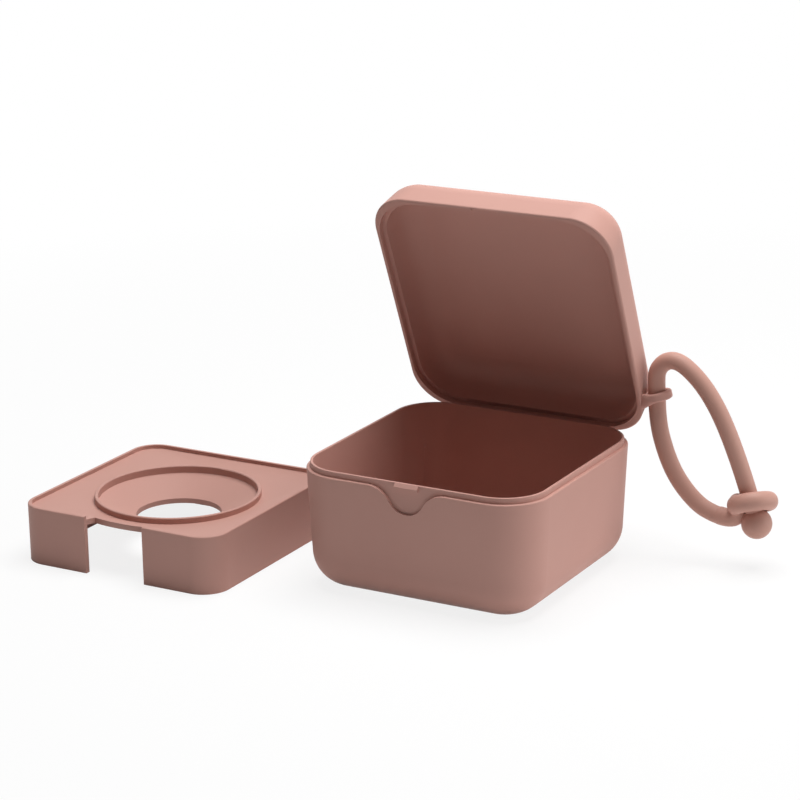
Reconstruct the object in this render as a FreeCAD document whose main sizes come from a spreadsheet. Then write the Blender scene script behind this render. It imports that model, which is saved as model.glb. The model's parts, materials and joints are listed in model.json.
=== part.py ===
import FreeCAD, Part

import math
import os
import re

import Sketcher

# Driving dimensions in millimetres and degrees, kept in one sheet.
SIZES = {
    # The case: a square box in plan, with rounded upright corners.
    "case_side": 75.3,
    "corner_radius": 14.0,
    "seam_gap": 0.2,
    # The base: a drafted box with a ledge, an inner lip and a rounded bottom edge.
    "base_height": 35.3,
    "base_draft_angle": 2.9,
    "base_edge_radius": 10.6,
    "ledge_width": 1.1,
    "ledge_edge_radius": 0.4,
    "lip_thickness": 0.8,
    "lip_height": 1.7,
    "lip_edge_radius": 0.25,
    "floor_thickness": 2.0,
    "cavity_draft_angle": 1.2,
    "cavity_edge_radius": 9.5,
    # The finger scoop in the front wall and the catch above it.
    "scoop_half_width": 12.1,
    "scoop_depth": 7.2,
    "scoop_bottom_radius": 6.0,
    "catch_width": 7.4,
    "catch_depth": 0.9,
    "catch_height": 1.6,
    "catch_clearance": 0.3,
    # The ribs that guide the tray in the four inside corners.
    "rib_width": 0.9,
    "rib_level": 25.6,
    "rib_point_height": 2.5,
    "rib_root": 1.05,
    "rib_clearance": 0.1,
    # The lid: a shallow drafted cover with a rebate for the lip of the base.
    "lid_overhang": 0.45,
    "lid_corner_radius": 12.0,
    "lid_height": 15.1,
    "lid_draft_angle": 6.5,
    "lid_edge_radius": 9.0,
    "lid_top_thickness": 2.0,
    "lid_ceiling_radius": 7.0,
    "lid_open_angle": 67.0,
    "lip_clearance": 0.3,
    "rim_edge_radius": 0.6,
    # The hinge behind the back wall.
    "hinge_setback": 0.55,
    "hinge_drop": 1.5,
    "barrel_radius": 1.5,
    "barrel_clearance": 0.5,
    "pin_radius": 0.7,
    "pin_clearance": 0.05,
    "knuckle_length": 26.0,
    "knuckle_gap": 0.3,
    "lug_length": 8.0,
    "arm_rise": 7.2,
    "arm_root": 1.3,
    "gusset_drop": 8.0,
    "gusset_root": 1.4,
    # The eyelet on the lid's right wall.
    "eyelet_ring_radius": 3.7,
    "eyelet_half_width": 0.72,
    "eyelet_half_height": 1.3,
    "eyelet_reach": 3.45,
    "eyelet_inset": 11.77,
    "eyelet_rise": 4.32,
    "eyelet_tilt_angle": 23.0,
    "eyelet_lean_angle": 15.0,
    # The loose tray, and where it stands on the floor beside the box.
    "tray_clearance": 1.85,
    "tray_height": 17.3,
    "tray_corner_radius": 8.0,
    "tray_draft_angle": 0.2,
    "tray_wall": 1.5,
    "tray_lip_width": 1.2,
    "tray_lip_height": 1.1,
    "tray_edge_radius": 0.4,
    "plate_fall": 1.4,
    "plate_thickness": 1.7,
    "ring_inner_radius": 23.6,
    "ring_width": 1.1,
    "ring_height": 1.7,
    "ring_edge_radius": 0.35,
    "dish_step": 0.5,
    "dish_depth": 4.5,
    "dish_thickness": 1.5,
    "hole_radius": 12.7,
    "notch_width": 20.0,
    "notch_arc_radius": 30.1,
    "tray_place_left": 87.05,
    "tray_place_front": 20.1,
    # The strap: a round cord, the ball at one end and the eye at the other.
    "strap_radius": 2.55,
    "eye_ring_radius": 4.8,
    "eye_wire_radius": 2.2,
    "ball_radius": 4.49,
    # How far a cut runs past the face that it starts from.
    "overrun": 1.0,
}

# The strap's route, in the eyelet's frame: millimetres outwards from the lid's
# wall and up along the eyelet, from the middle of the eyelet's hole.
BALL_RUN = [
    (0.0, 0.0),
    (-0.25, 3.2),
    (-0.2, 7.9),
    (3.0, 11.25),
    (7.4, 11.1),
    (13.4, 6.3),
    (18.1, 0.1),
    (21.95, -7.1),
    (25.95, -16.6),
    (29.6, -26.7),
    (30.7, -30.5),
]
EYE_RUN = [
    (0.0, 0.0),
    (0.05, -7.2),
    (3.25, -17.8),
    (7.3, -25.1),
    (13.45, -31.25),
    (18.75, -33.3),
    (22.05, -33.4),
    (24.8, -32.3),
]
EYE_MIDDLE = (30.3, -28.1)
BEND_SHARE = 0.45
CORNERS = 4
ROUND_SHARE = 0.96

doc = FreeCAD.newDocument("pacifier_case")
sheet = doc.addObject("Spreadsheet::Sheet", "sizes")


def fill_sheet():
    """Write every driving dimension into its own cell, under its own alias."""
    for row, (alias, value) in enumerate(SIZES.items(), start=1):
        sheet.set(f"A{row}", alias)
        sheet.set(f"B{row}", str(value))
        sheet.setAlias(f"B{row}", alias)
    doc.recompute()


def size(alias):
    """The number in one cell of the sheet."""
    return float(sheet.get(alias))


def bound(formula):
    """A formula written in aliases, as an expression that reads the sheet."""
    return re.sub(
        r"[a-z_]+",
        lambda word: "sizes." + word.group(0) if word.group(0) in SIZES else word.group(0),
        formula,
    )


def bind(item, **formulas):
    """Bind properties of an object to formulas; a double underscore stands for a dot."""
    for name, formula in formulas.items():
        item.setExpression(name.replace("__", "."), bound(formula))


HALF_SIDE = "case_side / 2"
LID_SIDE = "(case_side + 2 * lid_overhang)"
HINGE_BACK = f"({HALF_SIDE} + hinge_setback)"
HINGE_UP = "(base_height - hinge_drop)"
LIP_INSET = "ledge_width"
CAVITY_INSET = "(ledge_width + lip_thickness)"
RIM_OVER_HINGE = "(hinge_drop + seam_gap)"
TRAY_SIDE = f"(case_side - 2 * {CAVITY_INSET} - 2 * tray_clearance)"
TRAY_FOOT = f"({TRAY_SIDE} - 2 * tray_height * tan(tray_draft_angle))"
PLATE_EDGE = "(tray_height - tray_lip_height)"
PLATE_LOW = f"({PLATE_EDGE} - plate_fall)"
RING_OUTER = "(ring_inner_radius + ring_width)"
PIN_LENGTH = "(knuckle_length + 2 * knuckle_gap + 2 * lug_length)"
EYELET_OUT = f"({HALF_SIDE} + eyelet_reach)"
EYELET_FORWARD = "(hinge_setback + eyelet_inset)"
EYELET_OVER_HINGE = f"({RIM_OVER_HINGE} + eyelet_rise)"


def new_body(name):
    return doc.addObject("PartDesign::Body", name)


def origin_feature(body, role):
    """One of a body's own origin planes or axes."""
    return next(item for item in body.Origin.OriginFeatures if item.Role == role)


def flat_sketch(body, name, role, **place):
    """An empty sketch on one of the body's origin planes, shifted by formulas."""
    sketch = body.newObject("Sketcher::SketchObject", name)
    sketch.AttachmentSupport = [(origin_feature(body, role), "")]
    sketch.MapMode = "FlatFace"
    for axis, formula in place.items():
        sketch.setExpression(f"AttachmentOffset.Base.{axis}", bound(formula))
    return sketch


def worth(sketch, formula):
    """The present value of a formula."""
    return float(sketch.evalExpression(bound(formula)))


def dimension(sketch, kind, formula, *ends):
    """A driving constraint whose value follows a formula."""
    index = sketch.addConstraint(Sketcher.Constraint(kind, *ends, worth(sketch, formula)))
    sketch.setExpression(f"Constraints[{index}]", bound(formula))


def place_point(sketch, geometry, end, across, up):
    """Hold one end of an edge at two distances from the sketch's origin."""
    dimension(sketch, "DistanceX", across, -1, 1, geometry, end)
    dimension(sketch, "DistanceY", up, -1, 1, geometry, end)


def rounded_square(sketch, side, radius):
    """A square about the sketch's origin, with four equal round corners."""
    half = worth(sketch, f"({side}) / 2")
    bend = worth(sketch, radius)
    reach = half - bend
    corners = [(reach, -reach), (reach, reach), (-reach, reach), (-reach, -reach)]
    outward = [(half, 0), (0, half), (-half, 0), (0, -half)]
    lines = []
    arcs = []
    for turn in range(4):
        start, finish = corners[turn], corners[(turn + 1) % 4]
        ends = []
        for corner in (start, finish):
            across = outward[turn][0] or corner[0]
            up = outward[turn][1] or corner[1]
            ends.append(FreeCAD.Vector(across, up, 0))
        lines.append(sketch.addGeometry(Part.LineSegment(*ends)))
        circle = Part.Circle(FreeCAD.Vector(*finish, 0), FreeCAD.Vector(0, 0, 1), bend)
        quarter = math.pi / 2
        arcs.append(sketch.addGeometry(Part.ArcOfCircle(circle, turn * quarter, (turn + 1) * quarter)))
    for turn in range(4):
        following = lines[(turn + 1) % 4]
        sketch.addConstraint(Sketcher.Constraint("Tangent", lines[turn], 2, arcs[turn], 1))
        sketch.addConstraint(Sketcher.Constraint("Tangent", arcs[turn], 2, following, 1))
        direction = "Horizontal" if turn % 2 else "Vertical"
        sketch.addConstraint(Sketcher.Constraint(direction, lines[turn]))
        if turn:
            sketch.addConstraint(Sketcher.Constraint("Equal", arcs[0], arcs[turn]))
    dimension(sketch, "Radius", radius, arcs[0])
    dimension(sketch, "DistanceX", f"({side}) / 2", -1, 1, lines[0], 1)
    dimension(sketch, "DistanceY", f"({side}) / 2", -1, 1, lines[1], 1)
    dimension(sketch, "DistanceX", f"({side}) / 2", lines[2], 1, -1, 1)
    dimension(sketch, "DistanceY", f"({side}) / 2", lines[3], 1, -1, 1)


def outline(sketch, points):
    """A closed outline of straight edges through points given as formulas."""
    spots = [FreeCAD.Vector(worth(sketch, across), worth(sketch, up), 0) for across, up in points]
    count = len(points)
    edges = [
        sketch.addGeometry(Part.LineSegment(spots[turn], spots[(turn + 1) % count]))
        for turn in range(count)
    ]
    for turn in range(count):
        following = edges[(turn + 1) % count]
        sketch.addConstraint(Sketcher.Constraint("Coincident", edges[turn], 2, following, 1))
        place_point(sketch, edges[turn], 1, *points[turn])


def circle(sketch, radius):
    """A circle about the sketch's origin."""
    start = Part.Circle(FreeCAD.Vector(0, 0, 0), FreeCAD.Vector(0, 0, 1), worth(sketch, radius))
    index = sketch.addGeometry(start)
    sketch.addConstraint(Sketcher.Constraint("Coincident", index, 3, -1, 1))
    dimension(sketch, "Radius", radius, index)


def extrusion(body, kind, name, sketch, length, symmetric=False, backwards=False, taper=None):
    """A pad or a pocket of a sketch, whose length follows a formula."""
    feature = body.newObject("PartDesign::" + kind, name)
    feature.Profile = sketch
    feature.Reversed = backwards
    feature.SideType = "Symmetric" if symmetric else "One side"
    bind(feature, Length=length)
    if taper:
        bind(feature, TaperAngle=taper)
    doc.recompute()
    return feature


def round_level_edges(body, name, level, radius, width=None):
    """Round the edges that lie flat at one height, or only those of one outline's full width."""
    before = body.Tip
    height = float(before.evalExpression(bound(level)))
    tolerance = 1e-4 * size("case_side")
    middle = before.Shape.BoundBox.Center
    reach = float(before.evalExpression(bound(f"({width}) / 2"))) if width else 0.0
    chosen = []
    for number, edge in enumerate(before.Shape.Edges, start=1):
        box = edge.BoundBox
        farthest = max(
            box.XMax - middle.x, middle.x - box.XMin, box.YMax - middle.y, middle.y - box.YMin
        )
        level_edge = abs(box.ZMin - height) < tolerance and abs(box.ZMax - height) < tolerance
        if level_edge and farthest > reach - tolerance:
            chosen.append(f"Edge{number}")
    fillet = body.newObject("PartDesign::Fillet", name)
    fillet.Base = (before, chosen)
    bind(fillet, Radius=radius)
    doc.recompute()
    return fillet


def base_shell(body):
    """The drafted outside, the lip on its ledge and the hollow inside."""
    top = flat_sketch(body, "base_outside", "XY_Plane", z="base_height")
    rounded_square(top, "case_side", "corner_radius")
    extrusion(body, "Pad", "base_block", top, "base_height", backwards=True, taper="-base_draft_angle")
    lip = flat_sketch(body, "lip_outside", "XY_Plane", z="base_height - overrun")
    rounded_square(lip, f"case_side - 2 * {LIP_INSET}", f"corner_radius - {LIP_INSET}")
    extrusion(body, "Pad", "lip", lip, "lip_height + overrun")
    mouth = flat_sketch(body, "base_mouth", "XY_Plane", z="base_height + lip_height")
    rounded_square(mouth, f"case_side - 2 * {CAVITY_INSET}", f"corner_radius - {CAVITY_INSET}")
    depth = "base_height + lip_height - floor_thickness"
    extrusion(body, "Pocket", "base_hollow", mouth, depth, taper="-cavity_draft_angle")
    round_level_edges(body, "floor_edge", "floor_thickness", "cavity_edge_radius")
    round_level_edges(body, "base_bottom_edge", "0", "base_edge_radius")
    round_level_edges(body, "ledge_edge", "base_height", "ledge_edge_radius", "case_side")
    round_level_edges(body, "lip_edge", "base_height + lip_height", "lip_edge_radius")


def finger_scoop(body):
    """A smooth bell-shaped cut in the front wall, down to the lip's outer face."""
    sketch = flat_sketch(body, "scoop_outline", "XZ_Plane", z=f"{HALF_SIDE} + overrun", y="base_height")
    half = worth(sketch, "scoop_half_width")
    depth = worth(sketch, "scoop_depth")
    bottom = worth(sketch, "scoop_bottom_radius")
    turn = 2 * math.atan2(depth, half)
    flank = half / math.sin(turn) - bottom
    axis = FreeCAD.Vector(0, 0, 1)
    right_angle = math.pi / 2
    top = worth(sketch, "lip_height")
    hollow = Part.Circle(FreeCAD.Vector(0, bottom - depth, 0), axis, bottom)
    low = sketch.addGeometry(Part.ArcOfCircle(hollow, -right_angle - turn, -right_angle + turn))
    right = Part.Circle(FreeCAD.Vector(half, -flank, 0), axis, flank)
    right_arc = sketch.addGeometry(Part.ArcOfCircle(right, right_angle, right_angle + turn))
    left = Part.Circle(FreeCAD.Vector(-half, -flank, 0), axis, flank)
    left_arc = sketch.addGeometry(Part.ArcOfCircle(left, right_angle - turn, right_angle))
    corners = [(half, 0), (half, top), (-half, top), (-half, 0)]
    spots = [FreeCAD.Vector(across, up, 0) for across, up in corners]
    sides = [sketch.addGeometry(Part.LineSegment(spots[k], spots[k + 1])) for k in range(3)]
    sketch.addConstraint(Sketcher.Constraint("Tangent", low, 2, right_arc, 2))
    sketch.addConstraint(Sketcher.Constraint("Tangent", low, 1, left_arc, 1))
    for turn_index in range(2):
        joined = Sketcher.Constraint("Coincident", sides[turn_index], 2, sides[turn_index + 1], 1)
        sketch.addConstraint(joined)
    sketch.addConstraint(Sketcher.Constraint("Perpendicular", right_arc, 1, sides[0], 1))
    sketch.addConstraint(Sketcher.Constraint("Perpendicular", left_arc, 2, sides[2], 2))
    sketch.addConstraint(Sketcher.Constraint("Vertical", sides[0]))
    sketch.addConstraint(Sketcher.Constraint("Horizontal", sides[1]))
    sketch.addConstraint(Sketcher.Constraint("Vertical", sides[2]))
    sketch.addConstraint(Sketcher.Constraint("PointOnObject", low, 3, -2))
    sketch.addConstraint(Sketcher.Constraint("PointOnObject", right_arc, 1, -1))
    sketch.addConstraint(Sketcher.Constraint("PointOnObject", left_arc, 2, -1))
    sketch.addConstraint(Sketcher.Constraint("Equal", right_arc, left_arc))
    dimension(sketch, "DistanceX", "scoop_half_width", -1, 1, right_arc, 1)
    dimension(sketch, "Radius", "scoop_bottom_radius", low)
    dimension(sketch, "DistanceY", "scoop_bottom_radius - scoop_depth", -1, 1, low, 3)
    dimension(sketch, "DistanceY", "lip_height", -1, 1, sides[1], 1)
    return sketch


def catch_nub(body):
    """The small wedge on the lip that the lid snaps over, above the scoop."""
    sketch = flat_sketch(body, "catch_section", "YZ_Plane", x=f"{LIP_INSET} - {HALF_SIDE}", y="base_height")
    root = "lip_thickness / 2"
    section = [
        (root, "0"),
        (root, "catch_height"),
        ("0", "catch_height"),
        ("-catch_depth", "catch_height - catch_depth"),
        ("-catch_depth", "0"),
    ]
    outline(sketch, section)
    extrusion(body, "Pad", "catch", sketch, "catch_width", symmetric=True)


def hinge_sketch(body, name, **place):
    """A sketch across the hinge, with its origin on the hinge axis."""
    return flat_sketch(body, name, "YZ_Plane", **place)


def base_hinge(body):
    """Two lugs with gussets, the room for the lid's knuckle and the pin's bore."""
    axis = {"x": HINGE_BACK, "y": HINGE_UP}
    inner_end = "knuckle_length / 2 + knuckle_gap"
    barrel = hinge_sketch(body, "lug_barrel_section", z=inner_end, **axis)
    circle(barrel, "barrel_radius")
    lug = extrusion(body, "Pad", "lug_barrel", barrel, "lug_length")
    web = hinge_sketch(body, "lug_gusset_section", z=inner_end, **axis)
    outline(web, [("barrel_radius", "0"), ("-gusset_root", "0"), ("-gusset_root", "-gusset_drop")])
    gusset = extrusion(body, "Pad", "lug_gusset", web, "lug_length")
    mirrored = body.newObject("PartDesign::Mirrored", "second_lug")
    mirrored.Originals = [lug, gusset]
    mirrored.MirrorPlane = (origin_feature(body, "YZ_Plane"), [""])
    body.Tip = mirrored
    doc.recompute()
    room = hinge_sketch(body, "knuckle_room_section", **axis)
    circle(room, "barrel_radius + barrel_clearance")
    room_length = "knuckle_length + 2 * knuckle_gap"
    extrusion(body, "Pocket", "knuckle_room", room, room_length, symmetric=True)
    bore = hinge_sketch(body, "base_bore_section", **axis)
    circle(bore, "pin_radius")
    extrusion(body, "Pocket", "base_bore", bore, f"{PIN_LENGTH} + 2 * overrun", symmetric=True)


def tray_ribs(body):
    """Four thin upright ribs with pointed tops, one in each inside corner."""
    sketch = flat_sketch(body, "rib_outline", "XZ_Plane")
    diagonal = FreeCAD.Rotation(FreeCAD.Vector(0, 1, 0), 360 / CORNERS / 2)
    sketch.AttachmentOffset = FreeCAD.Placement(FreeCAD.Vector(0, 0, 0), diagonal)
    tip = f"(({TRAY_SIDE} / 2 - tray_corner_radius) * sqrt(2) + tray_corner_radius + rib_clearance)"
    low = "floor_thickness + cavity_edge_radius"
    section = [
        (tip, low),
        (f"{tip} + rib_root", low),
        (f"{tip} + rib_root", "rib_level"),
        (tip, "rib_level - rib_point_height"),
    ]
    outline(sketch, section)
    rib = extrusion(body, "Pad", "corner_rib", sketch, "rib_width", symmetric=True)
    pattern = body.newObject("PartDesign::PolarPattern", "corner_ribs")
    pattern.Originals = [rib]
    pattern.Axis = (origin_feature(body, "Z_Axis"), [""])
    pattern.Angle = 360
    pattern.Occurrences = CORNERS
    body.Tip = pattern
    doc.recompute()


def make_base():
    """The moulded box that stands on the floor."""
    body = new_body("base")
    base_shell(body)
    scoop = finger_scoop(body)
    extrusion(body, "Pocket", "finger_scoop", scoop, "overrun + ledge_width")
    catch_nub(body)
    base_hinge(body)
    tray_ribs(body)
    return body


def lid_shell():
    """The lid without its eyelet, shut, with the hinge axis through its origin."""
    body = new_body("lid_shell")
    middle = f"-{HINGE_BACK}"
    rim = flat_sketch(body, "lid_rim", "XY_Plane", y=middle, z=RIM_OVER_HINGE)
    rounded_square(rim, LID_SIDE, "lid_corner_radius")
    extrusion(body, "Pad", "lid_block", rim, "lid_height", taper="-lid_draft_angle")
    mouth = flat_sketch(body, "lid_mouth", "XY_Plane", y=middle, z=RIM_OVER_HINGE)
    rounded_square(mouth, f"case_side - 2 * {CAVITY_INSET}", f"corner_radius - {CAVITY_INSET}")
    depth = "lid_height - lid_top_thickness"
    extrusion(body, "Pocket", "lid_hollow", mouth, depth, backwards=True, taper="-lid_draft_angle")
    round_level_edges(body, "ceiling_edge", f"{RIM_OVER_HINGE} + {depth}", "lid_ceiling_radius")
    round_level_edges(body, "lid_top_edge", f"{RIM_OVER_HINGE} + lid_height", "lid_edge_radius")
    round_level_edges(body, "rim_edge", RIM_OVER_HINGE, "rim_edge_radius", LID_SIDE)
    rebate = flat_sketch(body, "rebate_outline", "XY_Plane", y=middle, z=RIM_OVER_HINGE)
    step = f"({LIP_INSET} - lip_clearance)"
    rounded_square(rebate, f"case_side - 2 * {step}", f"corner_radius - {step}")
    rebate_depth = "lip_height - seam_gap + lip_clearance"
    extrusion(body, "Pocket", "rebate", rebate, rebate_depth, backwards=True)
    catch_room(body, rebate_depth)
    lid_hinge(body)
    return body


def catch_room(body, rebate_depth):
    """The notch inside the front rim that takes the catch."""
    front = f"-{HINGE_BACK} - {HALF_SIDE} + {LIP_INSET}"
    sketch = flat_sketch(body, "catch_room_section", "YZ_Plane", x=front, y=RIM_OVER_HINGE)
    reach = "-(catch_depth + catch_clearance)"
    section = [
        ("lip_thickness / 2", "-overrun"),
        ("lip_thickness / 2", rebate_depth),
        (reach, rebate_depth),
        (reach, "-overrun"),
    ]
    outline(sketch, section)
    width = "catch_width + 4 * catch_clearance"
    extrusion(body, "Pocket", "catch_room", sketch, width, symmetric=True)


def lid_hinge(body):
    """The room for the lugs, the knuckle with its arm and the bore for the pin."""
    room = hinge_sketch(body, "lug_room_section")
    circle(room, "barrel_radius + barrel_clearance")
    extrusion(body, "Pocket", "lug_room", room, f"{PIN_LENGTH} + 2 * knuckle_gap", symmetric=True)
    barrel = hinge_sketch(body, "knuckle_section")
    circle(barrel, "barrel_radius")
    extrusion(body, "Pad", "knuckle", barrel, "knuckle_length", symmetric=True)
    arm = hinge_sketch(body, "arm_section")
    foot = "-(hinge_setback - seam_gap)"
    section = [
        ("barrel_radius", "0"),
        ("-arm_root", "arm_rise"),
        ("-arm_root", RIM_OVER_HINGE),
        (foot, RIM_OVER_HINGE),
        (foot, "0"),
    ]
    outline(arm, section)
    extrusion(body, "Pad", "knuckle_arm", arm, "knuckle_length", symmetric=True)
    bore = hinge_sketch(body, "lid_bore_section")
    circle(bore, "pin_radius + pin_clearance")
    extrusion(body, "Pocket", "lid_bore", bore, "knuckle_length + 2 * overrun", symmetric=True)


def eyelet():
    """The flat-sided ring on the lid's right wall that the strap goes through."""
    ring = new_body("eyelet_ring")
    section = flat_sketch(ring, "eyelet_outline", "XY_Plane")
    circle(section, "eyelet_ring_radius + eyelet_half_width")
    circle(section, "eyelet_ring_radius - eyelet_half_width")
    extrusion(ring, "Pad", "eyelet_band", section, "2 * eyelet_half_height", symmetric=True)
    edge_radius = f"{ROUND_SHARE} * eyelet_half_width"
    round_level_edges(ring, "eyelet_upper_edges", "eyelet_half_height", edge_radius)
    round_level_edges(ring, "eyelet_lower_edges", "-eyelet_half_height", edge_radius)
    place = f"create(<<vector>>; {EYELET_OUT}; -{EYELET_FORWARD}; {EYELET_OVER_HINGE})"
    tilt = "create(<<rotation>>; create(<<vector>>; 1; 0; 0); 90 - eyelet_tilt_angle)"
    lean = "create(<<rotation>>; create(<<vector>>; 0; 1; 0); -eyelet_lean_angle)"
    ring.setExpression("Placement", bound(f"create(<<placement>>; {place}; {tilt} * {lean})"))
    return ring


def make_lid():
    """The lid with its eyelet, turned open about the hinge axis."""
    lid = doc.addObject("Part::Fuse", "lid")
    lid.Base = lid_shell()
    lid.Tool = eyelet()
    lid.Placement.Rotation = FreeCAD.Rotation(FreeCAD.Vector(-1, 0, 0), size("lid_open_angle"))
    bind(lid, Placement__Base__y=HINGE_BACK, Placement__Base__z=HINGE_UP)
    bind(lid, Placement__Rotation__Angle="lid_open_angle")
    return lid


def make_hinge_pin():
    """The pin, tight in the lugs of the base and free in the lid's knuckle."""
    pin = doc.addObject("Part::Cylinder", "hinge_pin")
    pin.Placement.Rotation = FreeCAD.Rotation(FreeCAD.Vector(0, 1, 0), 90)
    bind(pin, Radius="pin_radius", Height=PIN_LENGTH, Placement__Base__x=f"-({PIN_LENGTH}) / 2")
    bind(pin, Placement__Base__y=HINGE_BACK, Placement__Base__z=HINGE_UP)
    return pin


def tray_skirt(body):
    """The tray's drafted outside, its low rim and the hollow below its plate."""
    top = flat_sketch(body, "tray_outside", "XY_Plane", z="tray_height")
    rounded_square(top, TRAY_SIDE, "tray_corner_radius")
    extrusion(body, "Pad", "tray_block", top, "tray_height", backwards=True, taper="-tray_draft_angle")
    under = flat_sketch(body, "tray_underside_outline", "XY_Plane")
    rounded_square(under, f"{TRAY_FOOT} - 2 * tray_wall", "tray_corner_radius - tray_wall")
    height = f"{PLATE_EDGE} - plate_thickness"
    extrusion(body, "Pocket", "tray_underside", under, height, backwards=True)
    round_level_edges(body, "tray_top_edge", "tray_height", "tray_edge_radius")
    funnel(body, "Additive", f"{TRAY_FOOT} - 2 * tray_wall", "tray_wall", "- plate_thickness")
    inner = flat_sketch(body, "tray_top_outline", "XY_Plane", z="tray_height")
    rounded_square(inner, f"{TRAY_SIDE} - 2 * tray_lip_width", "tray_corner_radius - tray_lip_width")
    extrusion(body, "Pocket", "tray_top", inner, "tray_lip_height")
    funnel(body, "Subtractive", f"{TRAY_SIDE} - 2 * tray_lip_width", "tray_lip_width", "")


def funnel(body, kind, side, inset, shift):
    """One face of the plate, which falls gently from the square rim to the round ring."""
    name = kind.lower()
    edge = flat_sketch(body, name + "_plate_edge", "XY_Plane", z=f"{PLATE_EDGE} {shift}")
    rounded_square(edge, side, f"tray_corner_radius - {inset}")
    low = flat_sketch(body, name + "_plate_low", "XY_Plane", z=f"{PLATE_LOW} {shift}")
    rounded_square(low, f"2 * {RING_OUTER}", f"{ROUND_SHARE} * {RING_OUTER}")
    loft = body.newObject(f"PartDesign::{kind}Loft", name + "_plate")
    loft.Profile = edge
    loft.Sections = [low]
    loft.Ruled = True
    doc.recompute()


def tray_notch(body):
    """The open notch in the front, whose back edge runs round the ring."""
    sketch = flat_sketch(body, "notch_outline", "XY_Plane", z="tray_height + overrun")
    across = worth(sketch, "notch_width / 2")
    front = -worth(sketch, f"{TRAY_SIDE} / 2 + overrun")
    radius = worth(sketch, "notch_arc_radius")
    back = -math.sqrt(radius ** 2 - across ** 2)
    corners = [(-across, back), (-across, front), (across, front), (across, back)]
    spots = [FreeCAD.Vector(*corner, 0) for corner in corners]
    sides = [sketch.addGeometry(Part.LineSegment(spots[k], spots[k + 1])) for k in range(3)]
    ring = Part.Circle(FreeCAD.Vector(0, 0, 0), FreeCAD.Vector(0, 0, 1), radius)
    start = math.atan2(back, -across)
    finish = math.atan2(back, across)
    edge = sketch.addGeometry(Part.ArcOfCircle(ring, start, finish))
    sketch.addConstraint(Sketcher.Constraint("Coincident", sides[0], 2, sides[1], 1))
    sketch.addConstraint(Sketcher.Constraint("Coincident", sides[1], 2, sides[2], 1))
    sketch.addConstraint(Sketcher.Constraint("Coincident", sides[2], 2, edge, 2))
    sketch.addConstraint(Sketcher.Constraint("Coincident", sides[0], 1, edge, 1))
    sketch.addConstraint(Sketcher.Constraint("Coincident", edge, 3, -1, 1))
    sketch.addConstraint(Sketcher.Constraint("Vertical", sides[0]))
    sketch.addConstraint(Sketcher.Constraint("Horizontal", sides[1]))
    sketch.addConstraint(Sketcher.Constraint("Vertical", sides[2]))
    dimension(sketch, "Radius", "notch_arc_radius", edge)
    dimension(sketch, "DistanceX", "-notch_width / 2", -1, 1, sides[0], 1)
    dimension(sketch, "DistanceX", "notch_width / 2", -1, 1, sides[2], 1)
    dimension(sketch, "DistanceY", f"-{TRAY_SIDE} / 2 - overrun", -1, 1, sides[1], 1)
    extrusion(body, "Pocket", "notch", sketch, "tray_height + 2 * overrun")


def tray_dish(body):
    """The raised ring and the dished seat that slopes down to the round hole."""
    opening = flat_sketch(body, "plate_opening", "XY_Plane", z="tray_height")
    circle(opening, "ring_inner_radius + ring_width / 2")
    extrusion(body, "Pocket", "plate_hole", opening, "tray_height")
    section = flat_sketch(body, "dish_section", "XZ_Plane")
    start = f"{PLATE_LOW} - dish_step"
    points = [
        (RING_OUTER, f"{PLATE_LOW} + ring_height"),
        ("ring_inner_radius", f"{PLATE_LOW} + ring_height"),
        ("ring_inner_radius", start),
        ("hole_radius", f"{start} - dish_depth"),
        ("hole_radius", f"{start} - dish_depth - dish_thickness"),
        ("ring_inner_radius", f"{start} - dish_thickness"),
        (RING_OUTER, f"{PLATE_LOW} - plate_thickness"),
    ]
    outline(section, points)
    dish = body.newObject("PartDesign::Revolution", "ring_and_dish")
    dish.Profile = section
    dish.ReferenceAxis = (origin_feature(body, "Z_Axis"), [""])
    dish.Angle = 360
    doc.recompute()
    round_level_edges(body, "ring_edge", f"{PLATE_LOW} + ring_height", "ring_edge_radius")


def make_tray():
    """The loose insert, standing on the floor to the left of the box."""
    body = new_body("tray")
    tray_skirt(body)
    tray_notch(body)
    tray_dish(body)
    bind(body, Placement__Base__x="-tray_place_left", Placement__Base__y="-tray_place_front")
    return body


def hang(item, out=0.0, up=0.0):
    """Place a piece of the strap from the middle of the eyelet's hole."""
    swung = f"{EYELET_FORWARD} * {{}}(lid_open_angle) {{}} {EYELET_OVER_HINGE} * {{}}(lid_open_angle)"
    back = f"{HINGE_BACK} - ({swung.format('cos', '-', 'sin')})"
    height = f"{HINGE_UP} + {swung.format('sin', '+', 'cos')}"
    bind(item, Placement__Base__x=f"{EYELET_OUT} + {out}")
    bind(item, Placement__Base__y=back, Placement__Base__z=f"{height} + {up}")


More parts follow.
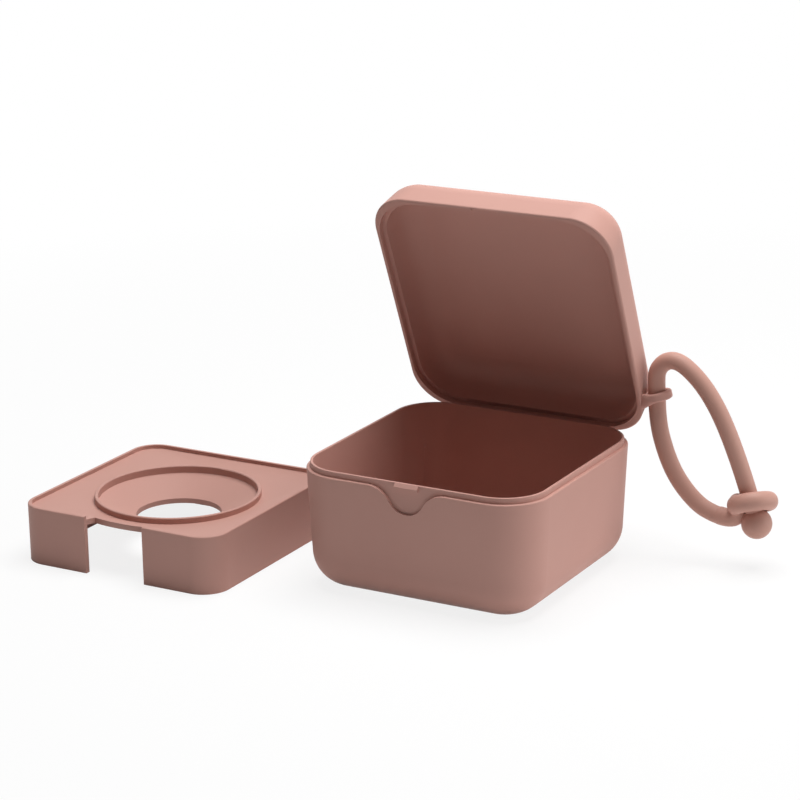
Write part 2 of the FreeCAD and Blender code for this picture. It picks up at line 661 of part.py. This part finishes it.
def tube(name, route):
    """A round cord along straight runs that are joined by tangent arcs."""
    spots = [FreeCAD.Vector(out, 0, up) for out, up in route]
    edges = []
    start = spots[0]
    least = None
    for before, corner, after in zip(spots, spots[1:], spots[2:]):
        back = before - corner
        ahead = after - corner
        turn = math.pi - back.getAngle(ahead)
        reach = BEND_SHARE * min(back.Length, ahead.Length)
        radius = reach / math.tan(turn / 2)
        least = radius if least is None else min(least, radius)
        back.normalize()
        ahead.normalize()
        inward = back + ahead
        inward.normalize()
        to_arc = radius / math.cos(turn / 2) - radius
        first = corner + back * reach
        last = corner + ahead * reach
        edges.append(Part.LineSegment(start, first).toShape())
        edges.append(Part.Arc(first, corner + inward * to_arc, last).toShape())
        start = last
    edges.append(Part.LineSegment(start, spots[-1]).toShape())
    path = Part.Wire(edges)
    radius = size("strap_radius")
    end = Part.Wire([Part.makeCircle(radius, spots[0], spots[1] - spots[0])])
    solid = path.makePipeShell([end], True, True)
    share = solid.Volume / (math.pi * radius ** 2 * path.Length)
    print(f"{name}: length {path.Length:.2f}, least radius {least:.2f}, volume share {share:.4f}")
    item = doc.addObject("Part::Feature", name)
    item.Shape = solid
    hang(item)
    return item


def run_end(route):
    """The last point of a run and the direction in which the cord arrives there."""
    last = FreeCAD.Vector(route[-1][0], 0, route[-1][1])
    before = FreeCAD.Vector(route[-2][0], 0, route[-2][1])
    direction = last - before
    direction.normalize()
    return last, direction


def make_strap():
    """One soft moulding in four pieces, threaded through the eyelet."""
    ball_run = tube("strap_ball_run", BALL_RUN)
    eye_run = tube("strap_eye_run", EYE_RUN)
    end, direction = run_end(BALL_RUN)
    upwards = FreeCAD.Rotation(FreeCAD.Vector(0, 0, 1), -direction)

    ball = doc.addObject("Part::Sphere", "strap_ball")
    ball.Placement.Rotation = upwards
    bind(ball, Radius="ball_radius", Angle2="acos(strap_radius / ball_radius)")
    sink = math.sqrt(size("ball_radius") ** 2 - size("strap_radius") ** 2)
    centre = end + direction * sink
    hang(ball, centre.x, centre.z)

    ring = doc.addObject("Part::Torus", "eye_ring")
    bind(ring, Radius1="eye_ring_radius", Radius2="eye_wire_radius")
    hang(ring, *EYE_MIDDLE)
    root = doc.addObject("Part::Sphere", "eye_root")
    bind(root, Radius="strap_radius")
    hang(root, *EYE_RUN[-1])
    low = run_end(EYE_RUN)[0]
    near_side = FreeCAD.Vector(EYE_MIDDLE[0] - size("eye_ring_radius"), 0, EYE_MIDDLE[1])
    neck = doc.addObject("Part::Cylinder", "eye_neck")
    neck.Placement.Rotation = FreeCAD.Rotation(FreeCAD.Vector(0, 0, 1), near_side - low)
    bind(neck, Radius="eye_wire_radius", Height=f"{(near_side - low).Length}")
    hang(neck, *EYE_RUN[-1])
    eye = doc.addObject("Part::MultiFuse", "strap_eye")
    eye.Shapes = [ring, root, neck]
    return [ball_run, eye_run, eye, ball]


fill_sheet()
pieces = [make_base(), make_lid(), make_hinge_pin(), make_tray()] + make_strap()
doc.recompute()

for item in doc.Objects:
    if "Invalid" in item.State or "Error" in item.State:
        raise RuntimeError(f"{item.Name} is {item.State}")
os.makedirs("parts", exist_ok=True)
for piece in pieces:
    shape = piece.Shape
    if shape.isNull() or not shape.isValid() or len(shape.Solids) != 1:
        raise RuntimeError(f"{piece.Label} is not one valid solid")
    box = shape.BoundBox
    print(
        f"{piece.Label}: volume {shape.Volume:.1f},"
        f" x {box.XMin:.2f} {box.XMax:.2f}, y {box.YMin:.2f} {box.YMax:.2f}, z {box.ZMin:.2f} {box.ZMax:.2f}"
    )
    shape.exportStep(f"parts/{piece.Label}.step")
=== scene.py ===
import json
import math

import bmesh
import bpy
from mathutils import Matrix, Vector


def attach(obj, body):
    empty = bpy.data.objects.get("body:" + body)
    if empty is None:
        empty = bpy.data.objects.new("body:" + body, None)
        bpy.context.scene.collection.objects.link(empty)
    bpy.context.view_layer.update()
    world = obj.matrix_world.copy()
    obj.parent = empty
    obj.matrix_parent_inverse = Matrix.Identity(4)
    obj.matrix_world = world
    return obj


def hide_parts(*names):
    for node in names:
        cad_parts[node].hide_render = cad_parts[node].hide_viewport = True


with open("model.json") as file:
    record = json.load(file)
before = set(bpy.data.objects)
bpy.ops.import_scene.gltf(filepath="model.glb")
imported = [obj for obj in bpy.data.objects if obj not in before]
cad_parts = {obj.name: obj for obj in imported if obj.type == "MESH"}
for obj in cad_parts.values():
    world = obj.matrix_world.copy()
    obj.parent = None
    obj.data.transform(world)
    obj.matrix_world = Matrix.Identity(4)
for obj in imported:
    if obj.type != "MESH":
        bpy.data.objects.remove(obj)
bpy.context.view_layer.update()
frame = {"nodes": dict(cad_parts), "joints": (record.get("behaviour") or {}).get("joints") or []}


# The base is one injection moulding in dusty pink plastic. The mould's
# surface was spark-eroded, so the skin is matt with a very fine, even grain.
def moulded_plastic(name, pink, deep_pink, roughness):
    """Matt coloured plastic: faint cloudy tone, fine grain and a soft sheen."""
    plastic = bpy.data.materials.new(name)
    plastic.use_nodes = True
    tree = plastic.node_tree
    shader = tree.nodes["Principled BSDF"]
    place = tree.nodes.new("ShaderNodeTexCoord")

    clouds = tree.nodes.new("ShaderNodeTexNoise")
    clouds.inputs["Scale"].default_value = 35.0
    clouds.inputs["Detail"].default_value = 3.0
    tones = tree.nodes.new("ShaderNodeValToRGB")
    tones.color_ramp.elements[0].position = 0.35
    tones.color_ramp.elements[0].color = (*deep_pink, 1.0)
    tones.color_ramp.elements[1].position = 0.65
    tones.color_ramp.elements[1].color = (*pink, 1.0)
    tree.links.new(place.outputs["Object"], clouds.inputs["Vector"])
    tree.links.new(clouds.outputs["Fac"], tones.inputs["Fac"])
    tree.links.new(tones.outputs["Color"], shader.inputs["Base Color"])

    rubbed = tree.nodes.new("ShaderNodeMapRange")
    rubbed.inputs["To Min"].default_value = roughness - 0.05
    rubbed.inputs["To Max"].default_value = roughness + 0.05
    tree.links.new(clouds.outputs["Fac"], rubbed.inputs["Value"])
    tree.links.new(rubbed.outputs["Result"], shader.inputs["Roughness"])

    grain = tree.nodes.new("ShaderNodeTexNoise")
    grain.inputs["Scale"].default_value = 5200.0
    grain.inputs["Detail"].default_value = 2.0
    bump = tree.nodes.new("ShaderNodeBump")
    bump.inputs["Strength"].default_value = 0.12
    bump.inputs["Distance"].default_value = 0.00004
    tree.links.new(place.outputs["Object"], grain.inputs["Vector"])
    tree.links.new(grain.outputs["Fac"], bump.inputs["Height"])
    tree.links.new(bump.outputs["Normal"], shader.inputs["Normal"])

    shader.inputs["Specular IOR Level"].default_value = 0.22
    return plastic


blush = (0.575, 0.319, 0.269)
deep_blush = (0.560, 0.306, 0.257)
case_plastic = moulded_plastic("case_plastic", blush, deep_blush, 0.55)


def finish_in(node, material):
    """Give a carried-over solid one finish all over."""
    skin = frame["nodes"][node].data
    skin.materials.clear()
    skin.materials.append(material)


finish_in("base", case_plastic)


# The hinge pin is a plain round rod of the same plastic, pressed into the
# two lugs behind the base. The lid's knuckle turns on it.
finish_in("hinge_pin", case_plastic)


# The lid is a shallow moulding of the same plastic. A step inside its rim
# takes the lip of the base, and an eyelet stands out of its right wall.
finish_in("lid", case_plastic)
joint_places = {joint["name"]: joint["pos_m"] for joint in frame["joints"] if "pos_m" in joint}
eyelet = Vector(joint_places["strap_swivel"])


def new_piece(name, mesh, material):
    """Turn a finished bmesh into a smooth-shaded piece."""
    bmesh.ops.recalc_face_normals(mesh, faces=mesh.faces)
    for face in mesh.faces:
        face.smooth = True
    skin = bpy.data.meshes.new(name)
    mesh.to_mesh(skin)
    mesh.free()
    skin.materials.append(material)
    piece = bpy.data.objects.new(name, skin)
    bpy.context.collection.objects.link(piece)
    return piece


def along_bend(start, bend, end, share):
    """The point at a share of a smooth bend between two ends."""
    return start.lerp(bend, share).lerp(bend.lerp(end, share), share)


def flow_together(piece, fineness):
    """Run a piece's overlapping lumps together, as in one moulding."""
    skin = piece.modifiers.new("skin", "REMESH")
    skin.mode = "VOXEL"
    skin.voxel_size = fineness
    skin.use_smooth_shade = True
    ease = piece.modifiers.new("ease", "SMOOTH")
    ease.factor = 0.5
    ease.iterations = 8


# Where the eyelet's ring meets the wall, the plastic spreads into a root on each side.
# Its places are measured from the middle of the ring, which leans a little outwards and up.
eyelet_lean = math.radians(15.0)
eyelet_place = Matrix.Translation(eyelet) @ Matrix.Rotation(-eyelet_lean, 4, "Y")
spread_start = Vector((-0.00375, -0.0026, -0.0004))
spread_bend = Vector((-0.0016, -0.0040, -0.0002))
spread_end = Vector((0.0008, -0.0036, 0.0))
wall_half_width = 0.0011
ring_half_width = 0.00074
wall_half_height = 0.0024
ring_half_height = 0.00125
spread_steps = 16
mesh = bmesh.new()
for step in range(spread_steps + 1):
    share = step / spread_steps
    half_width = wall_half_width + (ring_half_width - wall_half_width) * share
    half_height = wall_half_height + (ring_half_height - wall_half_height) * share
    spot = along_bend(spread_start, spread_bend, spread_end, share)
    lump = bmesh.ops.create_uvsphere(mesh, u_segments=24, v_segments=16, radius=1.0)["verts"]
    bmesh.ops.scale(mesh, verts=lump, vec=(half_width, half_width, half_height))
    bmesh.ops.translate(mesh, verts=lump, vec=spot)
bmesh.ops.mirror(mesh, geom=mesh.verts[:] + mesh.edges[:] + mesh.faces[:], axis="Y", merge_dist=-1.0)
bmesh.ops.transform(mesh, verts=mesh.verts, matrix=eyelet_place)
eyelet_roots = new_piece("eyelet_roots", mesh, case_plastic)
flow_together(eyelet_roots, fineness=0.00016)
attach(eyelet_roots, "lid")


# The tray is a loose thin-walled moulding of the same plastic. A raised ring
# and a dished hole in its top take one pacifier.
finish_in("tray", case_plastic)


# The strap is one silicone moulding: a round cord with a ball at one end
# and an eye at the other. It goes through the lid's eyelet, and the eye is
# pushed over the ball, so two runs leave the eyelet, one up and one down.
silicone_blush = (0.560, 0.314, 0.256)
silicone_deep_blush = (0.540, 0.298, 0.242)
strap_silicone = moulded_plastic("strap_silicone", silicone_blush, silicone_deep_blush, 0.50)
strap_diameter = 0.0051
ball_run_route = [
    (0.0, 0.0),
    (-0.00025, 0.0032),
    (-0.0002, 0.0079),
    (0.0030, 0.01125),
    (0.0074, 0.0111),
    (0.0134, 0.0063),
    (0.0181, 0.0001),
    (0.02195, -0.0071),
    (0.02595, -0.0166),
    (0.0296, -0.0267),
    (0.0307, -0.0305),
]
eye_run_route = [
    (0.0, 0.0),
    (0.00005, -0.0072),
    (0.00325, -0.0178),
    (0.0073, -0.0251),
    (0.01345, -0.03125),
    (0.01875, -0.0333),
    (0.0214, -0.03355),
    (0.0245, -0.03328),
]


def on_strap(out, up):
    """A point of the strap, from its distances outwards and up from the eyelet's middle."""
    return eyelet + Vector((out, 0.0, up))


def silicone_run(name, route):
    """One free run of the strap as a smooth round cord."""
    line = bpy.data.curves.new(name, "CURVE")
    line.dimensions = "3D"
    spline = line.splines.new("NURBS")
    spline.points.add(len(route) - 1)
    for point, (out, up) in zip(spline.points, route):
        point.co = (*on_strap(out, up), 1.0)
    spline.order_u = 3
    spline.use_endpoint_u = True
    spline.resolution_u = 16
    line.bevel_depth = strap_diameter / 2
    line.bevel_resolution = 8
    line.use_fill_caps = True
    line.materials.append(strap_silicone)
    run = bpy.data.objects.new(name, line)
    bpy.context.collection.objects.link(run)
    return run


# The ball is moulded on the end of its run.
ball_end = on_strap(*ball_run_route[-1])
down_run = (ball_end - on_strap(*ball_run_route[-2])).normalized()
ball_radius = 0.00449
ball_sink = math.sqrt(ball_radius ** 2 - (strap_diameter / 2) ** 2)
ball_place = Matrix.Translation(ball_end + down_run * ball_sink)
mesh = bmesh.new()
bmesh.ops.create_uvsphere(mesh, u_segments=64, v_segments=40, radius=ball_radius, matrix=ball_place)
ball = new_piece("strap_end_ball", mesh, strap_silicone)

# The eye is a fat ring round the ball's run, tipped a little back and to the left.
# Its own run bends up into it from below, and the silicone flows from one to the other.
eye_centre = on_strap(0.0303, -0.0281)
eye_axis = Vector((-0.297, 0.315, 0.901)).normalized()
eye_turn = eye_axis.to_track_quat("Z", "Y").to_matrix()
eye_ring_radius = 0.00495
eye_half_width = 0.00245
eye_half_height = 0.00275
mesh = bmesh.new()
bmesh.ops.create_circle(mesh, segments=40, radius=1.0)
bmesh.ops.scale(mesh, verts=mesh.verts, vec=(eye_half_width, eye_half_height, 1.0))
bmesh.ops.rotate(mesh, verts=mesh.verts, cent=(0, 0, 0), matrix=Matrix.Rotation(math.pi / 2, 3, "X"))
bmesh.ops.translate(mesh, verts=mesh.verts, vec=(eye_ring_radius, 0, 0))
bmesh.ops.spin(
    mesh, geom=mesh.verts[:] + mesh.edges[:], cent=(0, 0, 0), axis=(0, 0, 1),
    angle=2 * math.pi, steps=72, use_merge=True,
)
bmesh.ops.rotate(mesh, verts=mesh.verts, cent=(0, 0, 0), matrix=eye_turn)
bmesh.ops.translate(mesh, verts=mesh.verts, vec=eye_centre)
root_start = on_strap(0.0205, -0.03345)
root_bend = on_strap(0.0274, -0.0345)
root_end = on_strap(0.0258, -0.0286)
root_radius = 0.0027
root_steps = 24
for step in range(root_steps + 1):
    share = step / root_steps
    spot = along_bend(root_start, root_bend, root_end, share)
    bmesh.ops.create_uvsphere(
        mesh, u_segments=32, v_segments=20, radius=root_radius, matrix=Matrix.Translation(spot)
    )
eye = new_piece("strap_end_eye", mesh, strap_silicone)
flow_together(eye, fineness=0.00022)

ball_run = silicone_run("strap_run_to_ball", ball_run_route)
eye_run = silicone_run("strap_run_to_eye", eye_run_route)
for piece, node in (
    (ball_run, "strap_ball_run"),
    (eye_run, "strap_eye_run"),
    (ball, "strap_ball"),
    (eye, "strap_eye"),
):
    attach(piece, "strap")
    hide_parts(node)


# The floor is a wide sheet of white paper. Seen by the camera, in a shiny
# surface or through glass, it is mostly plain white, as on a catalogue page,
# and it keeps a faint shadow near the case.
def background_rays(tree):
    """A value of 1 for the rays that show the background, and 0 for those that light the object."""
    rays = tree.nodes.new("ShaderNodeLightPath")
    straight_or_mirrored = tree.nodes.new("ShaderNodeMath")
    straight_or_mirrored.operation = "MAXIMUM"
    tree.links.new(rays.outputs["Is Camera Ray"], straight_or_mirrored.inputs[0])
    tree.links.new(rays.outputs["Is Glossy Ray"], straight_or_mirrored.inputs[1])
    any_of_them = tree.nodes.new("ShaderNodeMath")
    any_of_them.operation = "MAXIMUM"
    tree.links.new(straight_or_mirrored.outputs["Value"], any_of_them.inputs[0])
    tree.links.new(rays.outputs["Is Transmission Ray"], any_of_them.inputs[1])
    return any_of_them.outputs["Value"]


floor_half_side = 3.0
shadow_radius = 0.10
white_radius = 0.45
near_white_share = 0.84
far_white_share = 1.0
floor_mesh = bmesh.new()
bmesh.ops.create_grid(floor_mesh, x_segments=1, y_segments=1, size=floor_half_side)
floor_skin = bpy.data.meshes.new("floor")
floor_mesh.to_mesh(floor_skin)
floor_mesh.free()
floor_paper = bpy.data.materials.new("floor_paper")
floor_paper.use_nodes = True
tree = floor_paper.node_tree
paper = tree.nodes["Principled BSDF"]
paper.inputs["Base Color"].default_value = (0.96, 0.96, 0.96, 1.0)
paper.inputs["Roughness"].default_value = 0.9
paper.inputs["Specular IOR Level"].default_value = 0.1
glow = tree.nodes.new("ShaderNodeEmission")
glow.inputs["Strength"].default_value = 1.0
place = tree.nodes.new("ShaderNodeTexCoord")
spread = tree.nodes.new("ShaderNodeVectorMath")
spread.operation = "LENGTH"
fade = tree.nodes.new("ShaderNodeMapRange")
fade.inputs["From Min"].default_value = shadow_radius
fade.inputs["From Max"].default_value = white_radius
fade.inputs["To Min"].default_value = near_white_share
fade.inputs["To Max"].default_value = far_white_share
shown = tree.nodes.new("ShaderNodeMath")
shown.operation = "MULTIPLY"
blend = tree.nodes.new("ShaderNodeMixShader")
tree.links.new(place.outputs["Object"], spread.inputs[0])
tree.links.new(spread.outputs["Value"], fade.inputs["Value"])
tree.links.new(fade.outputs["Result"], shown.inputs[0])
tree.links.new(background_rays(tree), shown.inputs[1])
tree.links.new(shown.outputs["Value"], blend.inputs["Fac"])
tree.links.new(paper.outputs["BSDF"], blend.inputs[1])
tree.links.new(glow.outputs["Emission"], blend.inputs[2])
tree.links.new(blend.outputs["Shader"], tree.nodes["Material Output"].inputs["Surface"])
floor_skin.materials.append(floor_paper)
floor = bpy.data.objects.new("floor", floor_skin)
bpy.context.collection.objects.link(floor)


# The light is plain and soft: a wide panel overhead and a weaker one on the
# right. The room round them is white to look at and adds almost no light.
def soft_panel(name, place, target, width, watts):
    """A square studio panel that faces a point of the object."""
    lamp = bpy.data.lights.new(name, "AREA")
    lamp.size = width
    lamp.energy = watts
    panel = bpy.data.objects.new(name, lamp)
    bpy.context.collection.objects.link(panel)
    panel.location = place
    panel.rotation_euler = (Vector(place) - Vector(target)).to_track_quat("Z", "Y").to_euler()
    return panel


case_middle = (0.0, 0.0, 0.04)
soft_panel("overhead_panel", (0.04, 0.09, 0.62), case_middle, width=0.45, watts=4.5)
soft_panel("right_panel", (0.66, 0.24, 0.22), case_middle, width=0.4, watts=1.7)

room_light_share = 0.02
room = bpy.data.worlds.new("white_room")
bpy.context.scene.world = room
room.use_nodes = True
sky = room.node_tree.nodes["Background"]
sky.inputs["Color"].default_value = (1.0, 1.0, 1.0, 1.0)
level = room.node_tree.nodes.new("ShaderNodeMapRange")
level.inputs["To Min"].default_value = room_light_share
level.inputs["To Max"].default_value = 1.0
room.node_tree.links.new(background_rays(room.node_tree), level.inputs["Value"])
room.node_tree.links.new(level.outputs["Result"], sky.inputs["Strength"])


# The camera stands to the right of the front and a little above, with a
# long lens, as the photograph's outlines ask.
azimuth = math.radians(29.52)
elevation = math.radians(17.01)
roll = math.radians(-0.82)
distance = 0.7847
looked_at = Vector((-0.01503, -0.01298, 0.05267))
lens = bpy.data.cameras.new("camera")
lens.lens = 124.9
lens.sensor_width = 36.0
camera = bpy.data.objects.new("camera", lens)
bpy.context.collection.objects.link(camera)
turned = (
    Matrix.Rotation(azimuth, 4, "Z")
    @ Matrix.Rotation(math.pi / 2 - elevation, 4, "X")
    @ Matrix.Rotation(roll, 4, "Z")
)
camera.matrix_world = Matrix.Translation(looked_at) @ turned @ Matrix.Translation((0.0, 0.0, distance))
bpy.context.scene.camera = camera
bpy.context.scene.view_settings.view_transform = "Standard"
